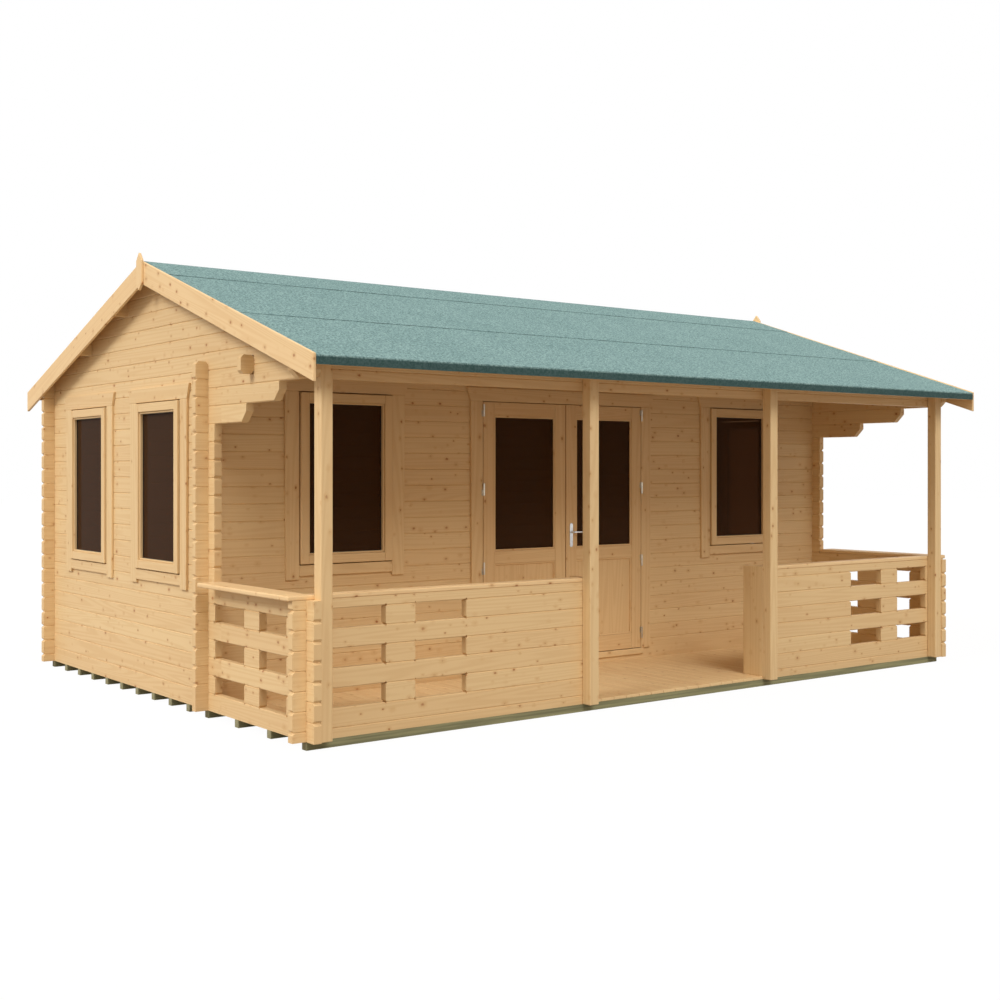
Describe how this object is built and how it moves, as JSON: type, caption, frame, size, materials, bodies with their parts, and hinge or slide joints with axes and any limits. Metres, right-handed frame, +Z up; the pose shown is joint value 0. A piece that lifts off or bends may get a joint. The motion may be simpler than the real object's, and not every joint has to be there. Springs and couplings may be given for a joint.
{
  "type": "log cabin",
  "caption": "Gabled log cabin with interlocking corners, a felted roof, a railed front veranda, glazed double door and windows.",
  "frame": {"origin": "on the ground, at the middle of the width and under the ridge", "axes": "+X to the right along the front, +Y from the veranda to the back, +Z up"},
  "size_m": [6.18, 4.705, 3.0595],
  "materials": {
    "log_timber": "planed softwood, satin",
    "trim_timber": "planed softwood, satin",
    "frame_timber": "planed softwood, satin",
    "door_timber": "planed softwood, satin",
    "post_timber": "planed softwood, satin",
    "roof_timber": "sawn softwood, matt",
    "floor_boards": "planed softwood, satin",
    "deck_boards": "planed softwood, satin",
    "bearer_timber": "pressure-treated, matt",
    "roof_felt": "mineral felt, matt",
    "window_glass": "clear",
    "hinge_steel": "zinc plated, satin",
    "handle_metal": "satin"
  },
  "bodies": {
    "cabin": {"floor_bearers": "bearer_timber", "cabin_floor": "floor_boards", "veranda_deck": "deck_boards", "front_bottom_log": "log_timber", "front_wall_left": "log_timber", "front_wall_right": "log_timber", "front_wall_head": "log_timber", "front_wall_upper": "log_timber", "rear_wall": "log_timber", "left_gable_wall": "log_timber", "right_gable_wall": "log_timber", "ridge_purlin": "log_timber", "side_purlins": "log_timber", "veranda_tie_beam": "log_timber", "veranda_beam": "log_timber", "front_roof_boards": "roof_timber", "rear_roof_boards": "roof_timber", "front_felt": "roof_felt", "rear_felt": "roof_felt", "ridge_felt": "roof_felt", "eaves_battens": "roof_timber", "left_front_bargeboard": "trim_timber", "left_rear_bargeboard": "trim_timber", "right_front_bargeboard": "trim_timber", "right_rear_bargeboard": "trim_timber", "finials": "trim_timber", "veranda_posts": "post_timber", "left_side_rail": "log_timber", "right_side_rail": "log_timber", "front_left_rail": "log_timber", "front_right_rail": "log_timber", "side_rail_caps": "trim_timber", "front_rail_caps": "trim_timber", "entry_end_boards": "trim_timber", "front_window_casings": "trim_timber", "front_window_frames": "frame_timber", "gable_window_casings": "trim_timber", "gable_window_frames": "frame_timber", "window_panes": "window_glass", "door_frame": "frame_timber", "door_casing": "trim_timber", "frame_hinges": "hinge_steel"},
    "left_door": {"left_door": "door_timber", "left_door_pane": "window_glass", "left_door_hinges": "hinge_steel"},
    "right_door": {"right_door": "door_timber", "right_door_pane": "window_glass", "right_door_hinges": "hinge_steel", "handle_plates": "handle_metal"},
    "lever": {"door_lever": "handle_metal"}
  },
  "joints": [
    {"name": "left_door_hinge", "type": "hinge", "parent": "cabin", "child": "left_door", "pos_m": [-0.7905, -0.8395, 1], "axis": [0, 0, -1], "range_deg": [0, 100]},
    {"name": "right_door_hinge", "type": "hinge", "parent": "cabin", "child": "right_door", "pos_m": [0.7905, -0.8395, 1], "axis": [0, 0, 1], "range_deg": [0, 100]},
    {"name": "lever_spindle", "type": "hinge", "parent": "right_door", "child": "lever", "pos_m": [0.0545, -0.8085, 1.105], "axis": [0, 1, 0], "range_deg": [0, 40], "stiffness_Nm_per_rad": 0.6}
  ]
}
